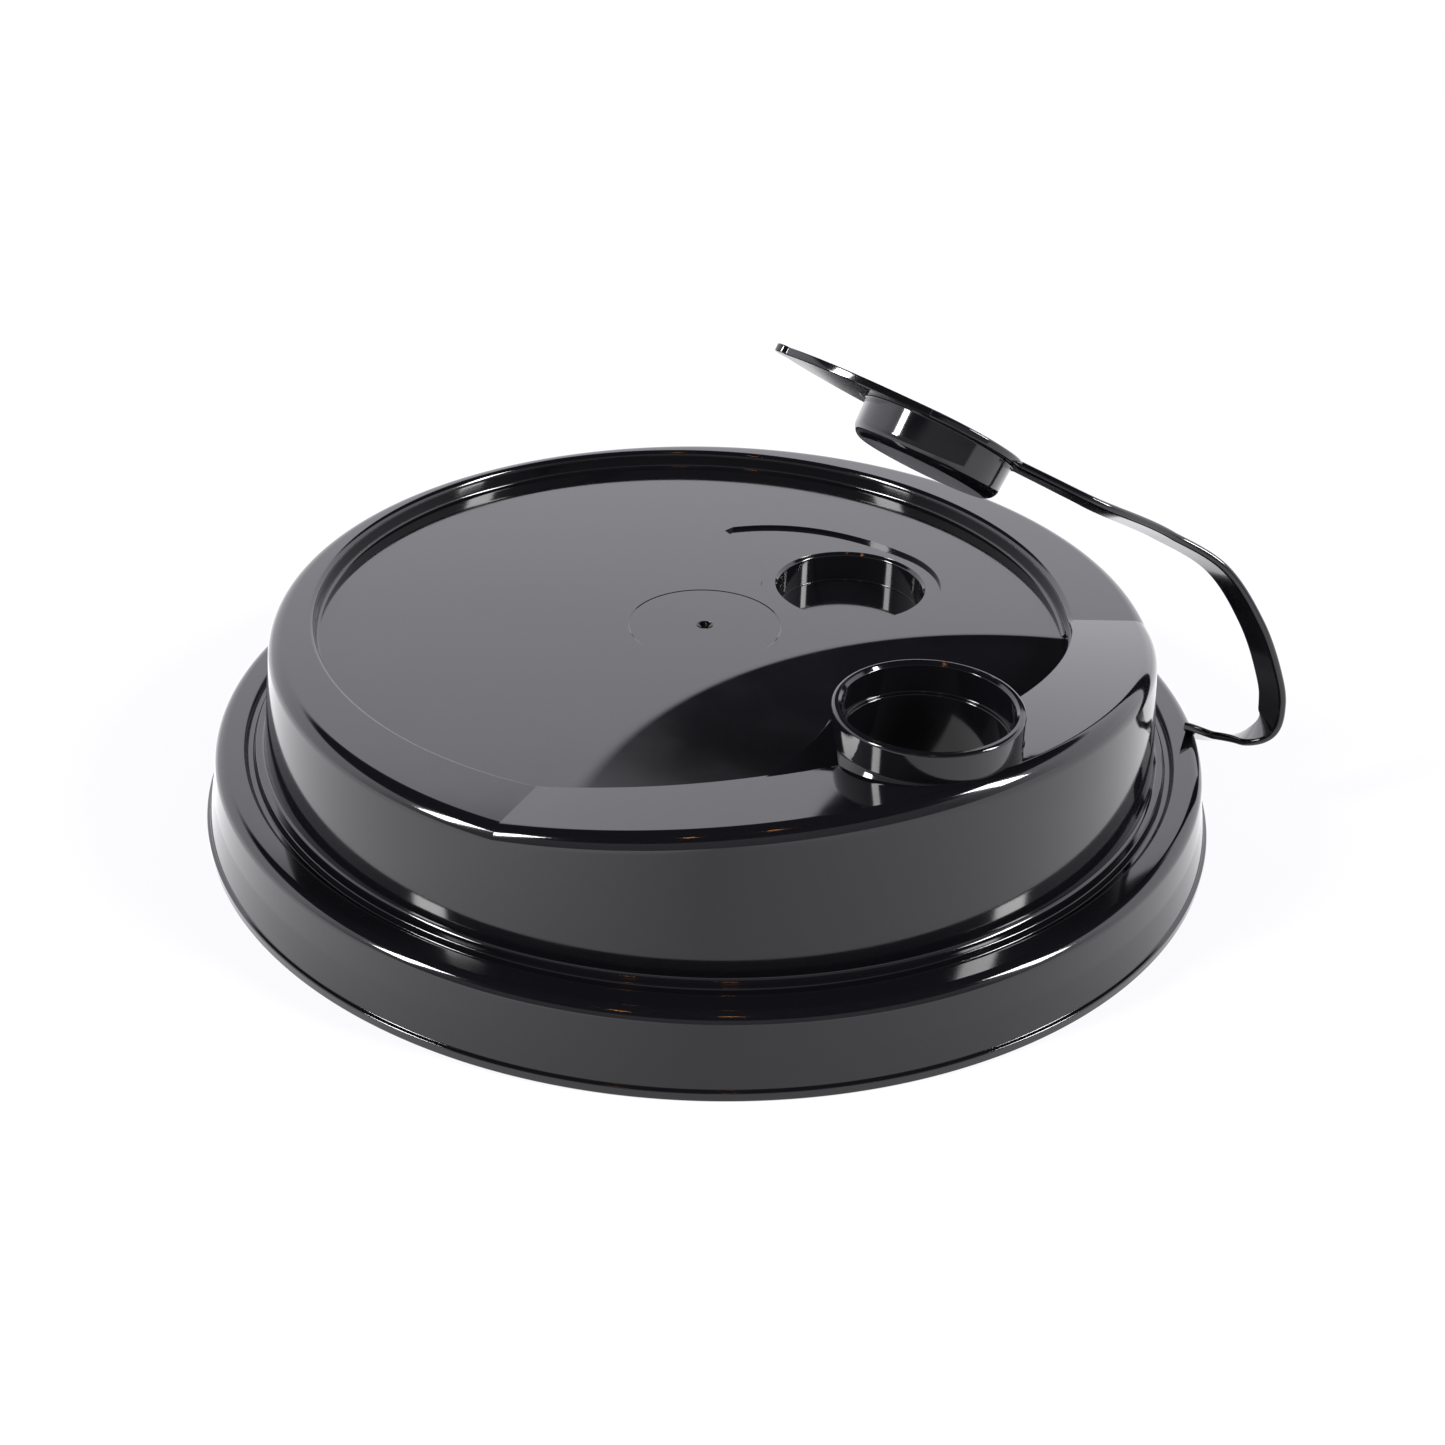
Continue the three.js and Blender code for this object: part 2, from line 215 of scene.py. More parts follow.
# Turned solid about an upright axis, from a profile that runs up its outside from axis to axis.
# The first division lies on the drinking side, so that the lip's creases fall on divisions.
def turned(name, profile, sides, centre=(0, 0)):
    vertices = []
    rings = []
    for point in profile:
        if point.x < 1e-6:
            rings.append([len(vertices)])
            vertices.append((centre[0], centre[1], point.y))
            continue
        rings.append(list(range(len(vertices), len(vertices) + sides)))
        for k in range(sides):
            angle = math.radians(dome["drinkAngle"]) + 2 * math.pi * k / sides
            across, back = point.x * math.cos(angle), point.x * math.sin(angle)
            vertices.append((centre[0] + across, centre[1] + back, point.y))
    faces = []
    for low, high in zip(rings, rings[1:]):
        for k in range(sides):
            n = (k + 1) % sides
            if len(low) == 1:
                faces.append((low[0], high[n], high[k]))
            elif len(high) == 1:
                faces.append((low[k], low[n], high[0]))
            else:
                faces.append((low[k], low[n], high[n], high[k]))
    return meshObject(name, vertices, faces)


# Solid over an outline in the plane, the outline running counterclockwise
def raised(name, outline, bottom, top):
    count = len(outline)
    vertices = [(x, y, bottom) for x, y in outline] + [(x, y, top) for x, y in outline]
    faces = [tuple(reversed(range(count))), tuple(range(count, 2 * count))]
    faces += [(k, (k + 1) % count, count + (k + 1) % count, count + k) for k in range(count)]
    return meshObject(name, vertices, faces)


def combine(target, tool, operation):
    modifier = target.modifiers.new("combine", "BOOLEAN")
    modifier.operation = operation
    modifier.solver = "MANIFOLD"
    modifier.object = tool
    bpy.context.view_layer.update()
    seen = target.evaluated_get(bpy.context.evaluated_depsgraph_get())
    done = bpy.data.meshes.new_from_object(seen)
    target.modifiers.clear()
    target.data = done
    bpy.data.objects.remove(tool)
    return target


def join(target, tool):
    return combine(target, tool, "UNION")


def cut(target, tool):
    return combine(target, tool, "DIFFERENCE")


def keep(target, tool):
    return combine(target, tool, "INTERSECT")


def polar(distance, angle):
    turn = math.radians(angle)
    return Vector((distance * math.cos(turn), distance * math.sin(turn)))


# Skirt, bead, ledge and dome, in millimetres
dome = {
    "wall": 0.8,
    "skirtRadius": 47.0,
    "skirtLipHeight": 0.8,
    "skirtLipStep": 0.3,
    "waistRadius": 46.15,
    "waistHeight": 3.8,
    "waistRounding": 6.0,
    "beadRadius": 45.7,
    "beadHeight": 7.3,
    "beadRounding": 1.1,
    "grooveRadius": 43.1,
    "grooveWidth": 1.0,
    "grooveDepth": 0.6,
    "sealRadius": 42.2,
    "sealFoot": 3.2,
    "footRadius": 41.3,
    "topRadius": 40.2,
    "height": 17.8,
    "rounding": 1.4,
    "drinkAngle": -56.0,     # degrees, the side that one drinks from
    "lipHalfAngle": 58.5,    # degrees from there to each crease, where the lip starts to rise
    "lipSlope": 0.2,
    "lipAcross": 38.0,       # from the axis out to where the lip has its full rise
}

# Sunk deck and its dished scoop, in millimetres
deck = {
    "radius": 34.7,
    "setback": 3.55,
    "depth": 1.75,
    "edge": 0.6,             # rounding at the top of the wall round the deck
    "edgeTurn": 75,          # degrees of that rounding that are left below the rim
    "wallEnd": 0.75,         # how far below the rim the straight wall ends
    "foot": 0.35,            # rounding at the wall's foot
    "draft": 0.06,
    "scoopAngle": -53.4,
    "scoopDistance": 45.49,
    "scoopRadius": 38.24,
    "scoopSlope": 0.1,
    "scoopCrisp": 0.5,       # width of the edge's rounding at its right end
    "scoopSoft": 1.0,        # and at its left end
    "crispSpread": (0.4, 1.0),    # how many widths it reaches outwards and inwards, right
    "softSpread": (1.6, 0.4),     # and left
    "softStart": 90,         # degrees, where it starts to widen
    "softTurn": 80,          # degrees from there to the left end
}

deckLevel = dome["height"] - deck["depth"]
deckCentre = polar(-deck["setback"], dome["drinkAngle"])
scoopCentre = polar(deck["scoopDistance"], deck["scoopAngle"])
highAbove = 34.0             # every cutting form reaches up to here


# Rise of the dome's edge on the way out from the axis through this place. The top is a fan of
# facets from the dome's middle, so it climbs evenly from there to the edge.
def lipRise(x, y):
    turn = math.atan2(y, x) - math.radians(dome["drinkAngle"])
    lift = math.cos(turn) - math.cos(math.radians(dome["lipHalfAngle"]))
    return dome["lipSlope"] * dome["lipAcross"] * max(0.0, lift)


# The dome's top climbs towards the drinking side, and its wall is drawn up with it.
def raiseLip(form, base, top):
    for vertex in form.data.vertices:
        x, y, z = vertex.co
        share = min(max((z - base) / (top - base), 0.0), 1.0)
        vertex.co.z = z + share * lipRise(x, y)
    return form


def outerBody():
    d = dome
    inner = d["grooveRadius"] - d["grooveWidth"]
    grooveFloor = d["beadHeight"] - d["grooveDepth"]
    profile = rounded([
        (0, 0, 0),
        (d["skirtRadius"], 0, 0.12),
        (d["skirtRadius"], d["skirtLipHeight"], 0.15),
        (d["skirtRadius"] - d["skirtLipStep"], d["skirtLipHeight"] + d["skirtLipStep"] / 2, 0.12),
        (d["waistRadius"], d["waistHeight"], d["waistRounding"]),
        (d["beadRadius"], d["beadHeight"], d["beadRounding"]),
        (d["grooveRadius"], d["beadHeight"], 0.2),
        (d["grooveRadius"] - d["grooveWidth"] / 4, grooveFloor, 0.15),
        (inner + d["grooveWidth"] / 4, grooveFloor, 0.15),
        (inner, d["beadHeight"], 0.15),
        (d["footRadius"], d["beadHeight"], 0.4),
        (d["topRadius"], d["height"], d["rounding"]),
        (0, d["height"], 0),
    ])
    return raiseLip(turned("lid", profile, fineness["shownSides"]), d["beadHeight"], d["height"])


# Brim channel, seal ring and the hollow of the dome
def underside():
    d = dome
    wall = d["wall"]
    channelTop = d["beadHeight"] - wall
    profile = rounded([
        (0, -1, 0),
        (d["skirtRadius"] - wall, -1, 0),
        (d["skirtRadius"] - wall - 0.1, 0, 0),
        (d["waistRadius"] - wall, d["waistHeight"], d["waistRounding"]),
        (d["beadRadius"] - wall, channelTop, d["beadRounding"] - wall / 2),
        (d["grooveRadius"] + wall / 2, channelTop, 0.2),
        (d["grooveRadius"], channelTop - d["grooveDepth"], 0.2),
        (d["sealRadius"], channelTop - d["grooveDepth"], 0.2),
        (d["sealRadius"], d["sealFoot"], 0.2),
        (d["sealRadius"] - wall, d["sealFoot"], 0.2),
        (d["footRadius"] - wall, d["beadHeight"] - wall / 2, 1.0),
        (d["topRadius"] - wall, d["height"] - wall, wall),
        (0, d["height"] - wall, 0),
    ])
    hollow = turned("underside", profile, fineness["hiddenSides"])
    return raiseLip(hollow, d["beadHeight"], d["height"] - wall)


# The scoop's edge is rounded widely at its left end and narrowly at its right end.
def softenScoop(scoop, low, floor):
    reach = deck["scoopRadius"]
    crisp = (deck["scoopCrisp"],) + deck["crispSpread"]
    wide = (deck["scoopSoft"],) + deck["softSpread"]
    for vertex in scoop.data.vertices:
        out = Vector(vertex.co[:2]) - scoopCentre
        if out.length < 1:
            continue
        turn = (math.degrees(math.atan2(out.y, out.x)) - deck["softStart"]) / deck["softTurn"]
        soft = min(max(turn, 0.0), 1.0) ** 2
        width, outwards, inwards = (a + (b - a) * soft for a, b in zip(crisp, wide))
        if abs(out.length - reach) < 1e-3:
            away = reach + outwards * width
            level = vertex.co.z
        else:
            away = reach - inwards * width
            level = low + (floor - low) * away / reach
        out = out.normalized() * away
        vertex.co = (scoopCentre.x + out.x, scoopCentre.y + out.y, level)


# Room above the deck and its scoop. Grown by a wall, the same form is what the deck keeps.
def deckSpace(growth):
    radius = deck["radius"] + growth
    floor = deckLevel - growth
    rim = dome["height"]
    edge = deck["edge"]
    sides = fineness["shownSides"] if growth == 0 else fineness["hiddenSides"]
    flare = []
    if growth == 0:
        crest = rim - edge * math.sin(math.radians(deck["edgeTurn"]))
        steps = range(0, 90, int(fineness["arcStep"]))
        flare = [Vector((radius + edge, crest)) + polar(edge, 180 - a) for a in steps]
    top = radius + (edge if flare else 0)
    inset = deck["draft"] if flare else 0
    bowl = rounded([
        (0, floor, 0),
        (radius - inset, floor, deck["foot"] if flare else 0),
        (radius, rim - deck["wallEnd"], 0),
    ])
    bowl += flare + [Vector((top, highAbove)), Vector((0, highAbove))]
    well = turned("well", bowl, sides, deckCentre)
    low = floor - deck["scoopSlope"] * deck["scoopRadius"]
    reach = deck["scoopRadius"]
    inner = reach - deck["scoopSoft"]
    cone = [
        (0, low), (inner, low + (floor - low) * inner / reach), (reach, floor),
        (reach, highAbove), (0, highAbove)]
    scoop = turned("scoop", [Vector(p) for p in cone], sides, scoopCentre)
    softenScoop(scoop, low, floor)
    bound = [Vector(p) for p in ((0, low), (radius, low), (radius, rim - 1), (0, rim - 1))]
    join(well, keep(scoop, turned("bound", bound, sides, deckCentre)))
    return raiseLip(well, deckLevel, rim) if growth == 0 else well


# Spout with its throat, in millimetres
spout = {
    "distance": 31.3,
    "radius": 7.85,
    "rootRadius": 8.4,
    "rootDrop": 1.0,         # the flare at the foot starts this far below the lip's top
    "tubeDrop": 0.1,         # and ends this far below it
    "mouthRadius": 7.05,
    "throatRadius": 6.7,
    "top": 24.0,
    "mouthDepth": 2.8,
    "edge": 0.3,
    "webReach": 14.4,        # sideways from the spout's middle to the web's thin end
    "webEnd": 5.5,           # and to its end inside the spout
    "webBack": 4.7,          # how far the ridge moves back towards the scoop
    "webRise": 3.3,
    "webRound": 0.5,         # left behind the ridge for its rounding
    "webBow": (0.6, 0.25),   # bends the ridge into a hollow curve
    "webSink": 0.08,         # keeps the web's foot just under the lip's top
    "webStart": 0.03,        # the web's width at its thin end
    "webCrest": ((0.12, 0.03), (0.22, 0.1), (0.3, 0.24)),    # back and down over the ridge
    "webRoot": 2.05,         # the web reaches this far below the deck
    "webColumns": 10,
}
spoutCentre = polar(spout["distance"], dome["drinkAngle"])
spoutFoot = dome["height"] + lipRise(*spoutCentre)


def spoutTube():
    s = spout
    bottom = deckLevel - deck["scoopSlope"] * deck["scoopRadius"]
    profile = rounded([
        (0, bottom, 0),
        (s["rootRadius"], bottom, 0.2),
        (s["rootRadius"], spoutFoot - s["rootDrop"], 0.5),
        (s["radius"], spoutFoot - s["tubeDrop"], 0.6),
        (s["radius"], s["top"], s["edge"]),
        (0, s["top"], 0),
    ])
    return turned("spout", profile, fineness["holeSides"], spoutCentre)


def spoutBore():
    s = spout
    ledge = s["top"] - s["mouthDepth"]
    profile = rounded([
        (0, 0, 0),
        (s["throatRadius"], 0, 0),
        (s["throatRadius"], ledge, 0.15),
        (s["mouthRadius"], ledge, 0.15),
        (s["mouthRadius"], s["top"] - s["edge"] * 0.8, 0.1),
        (s["mouthRadius"] + s["edge"], s["top"] + s["edge"] * 0.2, 0),
        (s["mouthRadius"] + s["edge"], highAbove, 0),
        (0, highAbove, 0),
    ])
    return turned("spout bore", profile, fineness["holeSides"], spoutCentre)


# Curve that leaves its start, and reaches its end, in a line with the control point
def bow(start, control, end):
    first, middle, last = Vector(start), Vector(control), Vector(end)
    points = []
    for k in range(fineness["bowSteps"] + 1):
        t = k / fineness["bowSteps"]
        points.append((1 - t) ** 2 * first + 2 * t * (1 - t) * middle + t * t * last)
    return points


# Corner web: on the spout's left side the ring's inner edge climbs in a hollow curve to the spout.
# Its front runs from that edge up to a ridge, and behind the ridge it drops into the scoop.
def spoutWeb():
    s = spout
    turn = Matrix.Rotation(math.radians(dome["drinkAngle"]), 2)
    edge = deck["radius"] + deck["edge"]
    toDeck = deck["setback"] + s["distance"]
    root = deckLevel - s["webRoot"]
    ridge = bow((0, 0), s["webBow"], (1, 1))
    front = [k / s["webColumns"] for k in range(s["webColumns"] + 1)]
    crest = [(share, share, 0.0) for share in front]
    crest += [(1 + reach / (s["webBack"] * 2), 1.0, drop) for reach, drop in s["webCrest"]]
    top = []
    for share, rise in ridge:
        y = -s["webReach"] + (s["webReach"] - s["webEnd"]) * share
        foot = math.sqrt(edge ** 2 - y ** 2) - toDeck
        back = foot - s["webStart"] - (s["webBack"] - s["webRound"]) * share
        for across, climb, drop in crest:
            flat = spoutCentre + turn @ Vector((foot + (back - foot) * across, y))
            level = dome["height"] + lipRise(*flat) * flat.length / dome["lipAcross"]
            level += s["webRise"] * rise * climb - s["webSink"] - drop
            top.append(Vector((flat.x, flat.y, level)))
    low = [Vector((p.x, p.y, root)) for p in top]
    count = len(top)
    wide = len(crest)
    long = len(ridge)
    faces = []
    for i in range(long - 1):
        for k in range(wide - 1):
            a = i * wide + k
            faces.append((a, a + 1, a + wide + 1, a + wide))
            faces.append((count + a, count + a + wide, count + a + wide + 1, count + a + 1))
    around = list(range(wide)) + [(i + 1) * wide - 1 for i in range(1, long)]
    around += [count - 1 - k for k in range(1, wide)] + [i * wide for i in range(long - 2, 0, -1)]
    for a, b in zip(around, around[1:] + around[:1]):
        faces.append((b, a, count + a, count + b))
    web = meshObject("web", top + low, faces)
    shell = bmesh.new()
    shell.from_mesh(web.data)
    bmesh.ops.recalc_face_normals(shell, faces=shell.faces)
    shell.to_mesh(web.data)
    shell.free()
    return web


# Pocket that parks the stopper, with the shallow seat for its disc and tab, in millimetres
pocket = {
    "across": 13.12,
    "back": 11.49,
    "radius": 6.98,
    "depth": 3.3,
    "edge": 0.3,
    "foot": 0.12,
    "cupRounding": 0.8,
    "seatDepth": 0.33,
    "seatRadius": 8.75,
    "seatLength": 16.2,
    "seatAngle": 137.0,      # degrees, where the seat's tip points
    "seatRound": 310,        # degrees at which its round part ends
    "seatTip": 0.6,          # half the tip's width
    "seatFull": 0.72,        # the place along the tip that its full side is drawn towards
    "seatHollow": (0.5, -0.3),    # and its hollow side
}
pocketCentre = Vector((pocket["across"], pocket["back"]))


def pocketCup():
    p = pocket
    bottom = deckLevel - p["depth"] - dome["wall"]
    outside = p["radius"] + dome["wall"]
    profile = rounded([
        (0, bottom, 0),
        (outside, bottom, p["cupRounding"]),
        (outside, deckLevel, 0),
        (0, deckLevel, 0),
    ])
    return turned("pocket", profile, fineness["holeSides"], pocketCentre)


def pocketBore():
    p = pocket
    floor = deckLevel - p["depth"]
    mouth = deckLevel - p["seatDepth"]
    profile = rounded([
        (0, floor, 0),
        (p["radius"], floor, p["foot"]),
        (p["radius"], mouth - p["edge"], 0.25),
        (p["radius"] + p["edge"], mouth, 0.1),
        (p["radius"] + p["edge"], highAbove, 0),
        (0, highAbove, 0),
    ])
    return turned("pocket bore", profile, fineness["holeSides"], pocketCentre)


def seatOutline(growth):
    p = pocket
    radius = p["seatRadius"] + growth
    tip = p["seatLength"] + growth
    along, aside = p["seatHollow"]
    outline = bow((tip, p["seatTip"]), (tip * p["seatFull"], radius), (0, radius))
    steps = fineness["seatSteps"]
    sweep = p["seatRound"] - 90
    outline += [polar(radius, 90 + sweep * (k + 1) / steps) for k in range(steps)]
    outline += bow(outline[-1], (tip * along, radius * aside), (tip, -p["seatTip"]))[1:]
    turn = Matrix.Rotation(math.radians(p["seatAngle"]), 2)
    mirrored = [Vector((point.x, -point.y)) for point in reversed(outline)]
    return [tuple(pocketCentre + turn @ point) for point in mirrored]


# Gate mark left by the moulding, in millimetres
gate = {
    "across": -0.8,
    "back": 1.75,
    "padRadius": 7.18,
    "padDepth": 0.05,
    "padEdge": 0.15,         # half the width of the slope round the pad
    "padAbove": 0.12,        # how far above the deck the cut's slope ends
    "dimple": 0.8,
    "dimpleDepth": 0.4,
    "dimpleRounding": 0.1,
}


def gateMark():
    g = gate
    centre = (g["across"], g["back"])
    floor = deckLevel - g["padDepth"]
    inside, outside = g["padRadius"] - g["padEdge"], g["padRadius"] + g["padEdge"]
    pad = [
        (0, floor), (inside, floor), (outside, deckLevel + g["padAbove"]),
        (outside, highAbove), (0, highAbove)]
    hole = rounded([
        (0, floor - g["dimpleDepth"], 0),
        (g["dimple"] / 2, floor - g["dimpleDepth"], g["dimpleRounding"]),
        (g["dimple"], floor, g["dimpleRounding"]),
        (g["dimple"], highAbove, 0),
        (0, highAbove, 0),
    ])
    mark = turned("gate", [Vector(p) for p in pad], fineness["holeSides"], centre)
    return join(mark, turned("dimple", hole, fineness["dimpleSides"], centre))


# Strap and stopper, in millimetres. The strap's line starts at its root on the bead.
strap = {
    "angle": 1.2,
    "height": 6.7,
    "width": 4.2,
    "thickness": 0.75,
    "rootWidth": 7.4,
    "rootLength": 2.6,
    "length": 55,
    "corner": 0.9,           # the corners' rounding as a share of half the thickness
    "steps": 220,
    "bandAtRoot": (-0.3, 0.83, -0.47),    # the way the band's width runs where it starts
    "line": [
        (0, 0, 0), (2.5, -1, 0), (5, -1.9, 0.6), (6.6, -2.5, 2.3), (6.8, -2.3, 4.9), (6, -1.9, 7.9),
        (3.9, -1.5, 12.5), (0, -1.4, 17.8), (-5.6, -2.2, 21.4),
    ],
    "lineAtDisc": (6.5, 2, -1),           # then it runs level with the disc, this far from its edge
}
stopper = {
    "place": (-26.3, -3.4, 31),
    "axis": (0.417, 0.405, 0.814),
    "along": (14, -3.3, -5.5),
    "discRadius": 7.7,
    "discThickness": 0.75,
    "plugTop": 7.0,
    "plugFoot": 6.85,
    "plugLength": 3.4,
    "plugRounding": 1.2,
    "rimWidth": 0.1,         # how far the disc's rim stands out past its radius
    "tabReach": 15.9,
    "tabShoulder": 10.6,
    "tabTip": 1.1,
    "tabRoot": 1.5,
    "tabFull": 0.78,         # how full the tab's sides are
    "tabInset": 0.02,        # the tab is this much thinner than the disc, on each side
    "tabEdge": 0.12,
}

rootFlat = polar(dome["beadRadius"] - dome["wall"] / 2, strap["angle"])
strapRoot = Vector((rootFlat.x, rootFlat.y, strap["height"]))
plugCentre = strapRoot + Vector(stopper["place"])
plugAxis = Vector(stopper["axis"]).normalized()
plugAlong = Vector(stopper["along"])
plugAlong = (plugAlong - plugAlong.dot(plugAxis) * plugAxis).normalized()
plugSide = plugAxis.cross(plugAlong)


def onDisc(distance):
    return plugCentre + plugAlong * distance + plugAxis * strap["thickness"] / 2


# Smooth curve through the points, evenly divided
def throughPoints(points, steps, finely=60):
    ends = [2 * points[0] - points[1]] + points + [2 * points[-1] - points[-2]]
    dense = []
    for a, b, c, d in zip(ends, ends[1:], ends[2:], ends[3:]):
        before, between, after = ((q - p).length ** 0.5 for p, q in ((a, b), (b, c), (c, d)))
        leave = ((b - a) / before - (c - a) / (before + between) + (c - b) / between) * between
        arrive = ((c - b) / between - (d - b) / (between + after) + (d - c) / after) * between
        for k in range(finely):
            t = k / finely
            dense.append(
                b + leave * t + (3 * (c - b) - 2 * leave - arrive) * t ** 2
                + (2 * (b - c) + leave + arrive) * t ** 3)
    dense.append(points[-1])
    lengths = [0.0]
    for p, q in zip(dense, dense[1:]):
        lengths.append(lengths[-1] + (q - p).length)
    even = []
    place = 0
    for k in range(steps + 1):
        goal = lengths[-1] * k / steps
        while place < len(dense) - 2 and lengths[place + 1] < goal:
            place += 1
        share = (goal - lengths[place]) / (lengths[place + 1] - lengths[place])
        even.append(dense[place].lerp(dense[place + 1], share))
    return even


# Section of the band: a flat bar with rounded corners
def bandSection(halfWidth, halfThickness):
    corner = halfThickness * strap["corner"]
    section = []
    for x, y, start in ((1, -1, -90), (1, 1, 0), (-1, 1, 90), (-1, -1, 180)):
        for k in range(6):
            angle = math.radians(start + 18 * k)
            section.append((
                x * (halfWidth - corner) + corner * math.cos(angle),
                y * (halfThickness - corner) + corner * math.sin(angle)))
    return section


def strapBand():
    s = strap
    line = [strapRoot + Vector(p) for p in s["line"]]
    line += [onDisc(stopper["discRadius"] + beyond) for beyond in s["lineAtDisc"]]
    path = throughPoints(line, s["steps"])
    vertices = []
    for k, here in enumerate(path):
        along = (path[min(k + 1, s["steps"])] - path[max(k - 1, 0)]).normalized()
        across = Vector(s["bandAtRoot"]).normalized().lerp(plugSide, k / s["steps"])
        across = (across - across.dot(along) * along).normalized()
        upward = along.cross(across)
        run = k / s["steps"] * s["length"]
        flare = max(0.0, 1 - run / s["rootLength"]) ** 2 * (s["rootWidth"] - s["width"]) / 2
        for u, v in bandSection(s["width"] / 2 + flare, s["thickness"] / 2):
            vertices.append(here + across * u + upward * v)
    count = len(vertices) // len(path)
    last = count * s["steps"]
    faces = [tuple(reversed(range(count))), tuple(range(last, last + count))]
    for k in range(s["steps"]):
        for j in range(count):
            n = (j + 1) % count
            faces.append((k * count + j, k * count + n, (k + 1) * count + n, (k + 1) * count + j))
    return meshObject("strap", vertices, faces)


def makeStopper():
    s = stopper
    wall = dome["wall"]
    foot = -s["plugLength"]
    thick = s["discThickness"]
    outside = s["discRadius"] + s["rimWidth"]
    profile = rounded([
        (0, foot, 0),
        (s["plugFoot"], foot, s["plugRounding"]),
        (s["plugTop"], 0, 0.12),
        (outside, 0, 0.2),
        (outside, thick, 0.25),
        (s["plugTop"] - wall, thick, 0.15),
        (s["plugFoot"] - wall, foot + wall, 0.6),
        (0, foot + wall, 0),
    ])
    cup = turned("stopper", profile, fineness["holeSides"])
    tip = s["tabReach"] - s["tabTip"]
    near = bow(
        (-s["tabRoot"], -s["discRadius"]),
        (-s["tabShoulder"], -s["discRadius"] * s["tabFull"]),
        (-tip, -s["tabTip"]))
    outline = [Vector((p.x, -p.y)) for p in near][:-1]
    steps = fineness["tipSteps"]
    outline += [
        Vector((-tip, 0)) + polar(s["tabTip"], 90 + 180 * k / steps) for k in range(steps + 1)]
    outline += list(reversed(near))[1:]
    tab = raised("tab", [tuple(p) for p in outline], s["tabInset"], thick - s["tabInset"])
    softenEdges(tab, s["tabEdge"])
    bore = s["plugTop"] - wall - 0.05
    above = 5
    core = [Vector(p) for p in ((0, foot + wall), (bore, foot + wall), (bore, above), (0, above))]
    join(cup, cut(tab, turned("hollow", core, fineness["holeSides"])))
    place = Matrix((plugAlong, plugSide, plugAxis)).transposed().to_4x4()
    cup.data.transform(Matrix.Translation(plugCentre) @ place)
    return cup


def softenEdges(form, width):
    mesh = bmesh.new()
    mesh.from_mesh(form.data)
    least = math.radians(fineness["bevelAbove"])
    sharp = [e for e in mesh.edges if len(e.link_faces) == 2 and e.calc_face_angle(0) > least]
    bmesh.ops.bevel(mesh, geom=sharp, offset=width, segments=3, profile=0.5, affect="EDGES")
    mesh.to_mesh(form.data)
    mesh.free()


# Facets shade smoothly across roundings. The lip's creases are too shallow to show by their angle,
# so they are marked by where they lie.
def setShading(form):
    mesh = bmesh.new()
    mesh.from_mesh(form.data)
    bmesh.ops.remove_doubles(mesh, verts=mesh.verts, dist=1e-4)
    bmesh.ops.dissolve_degenerate(mesh, edges=mesh.edges, dist=1e-4)
    creases = [dome["drinkAngle"] + side * dome["lipHalfAngle"] for side in (-1, 1)]
    lowest = dome["beadHeight"] + 0.5

    def onCrease(v):
        turn = math.degrees(math.atan2(v.co.y, v.co.x))
        return v.co.z > lowest and any(abs(turn - c) < fineness["creaseWithin"] for c in creases)

    for face in mesh.faces:
        face.smooth = True
    for edge in mesh.edges:
        if len(edge.link_faces) != 2:
            continue
        angle = math.degrees(edge.calc_face_angle(0))
        marked = all(onCrease(v) for v in edge.verts)
        limit = fineness["creaseAbove"] if marked else fineness["smoothBelow"]
        edge.smooth = angle <= limit
    mesh.to_mesh(form.data)
    mesh.free()


# Large faces set the shading of their neighbours. On the deck and along the scoop's edge, where
# facets of many sizes meet, it is set to the deck's own upright.
def settleShading(form):
    weigh = form.modifiers.new("large faces lead", "WEIGHTED_NORMAL")
    weigh.keep_sharp = True
    bpy.context.view_layer.update()
    seen = form.evaluated_get(bpy.context.evaluated_depsgraph_get())
    settled = bpy.data.meshes.new_from_object(seen)
    form.modifiers.clear()
    form.data = settled
    upright = Vector((0, 0, 1))
    normals = [corner.vector.copy() for corner in settled.corner_normals]
    for face in settled.polygons:
        if face.normal.z < fineness["levelAbove"]:
            continue
        for corner in face.loop_indices:
            place = settled.vertices[settled.loops[corner].vertex_index].co
            if abs(place.z - deckLevel) < 0.01:
                normals[corner] = upright
    settled.normals_split_custom_set(normals)


def makeLid():
    wall = dome["wall"]
    lid = cut(outerBody(), cut(underside(), deckSpace(wall)))
    print("dome hollowed")
    cut(lid, cut(deckSpace(0), spoutTube()))    # the deck is sunk round the spout's foot
    join(lid, spoutTube())
    join(lid, spoutWeb())
    join(lid, pocketCup())
    print("deck sunk")
    seatTop = deckLevel - pocket["seatDepth"]
    join(lid, raised("seat wall", seatOutline(wall), seatTop - wall, deckLevel - 0.05))
    cut(lid, spoutBore())
    cut(lid, pocketBore())
    cut(lid, raised("seat", seatOutline(0), seatTop, highAbove))
    cut(lid, gateMark())
    print("spout and pocket cut")
    join(lid, strapBand())
    join(lid, makeStopper())
    setShading(lid)
    settleShading(lid)
    lid.name = "lid"
    lid.data.transform(Matrix.Translation(axisPlace) @ Matrix.Scale(millimetre, 4))
    lid.data.materials.clear()
    lid.data.materials.append(mouldedPolypropylene())
    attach(lid, "root")
    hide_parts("lid")
    print("lid made")


makeLid()


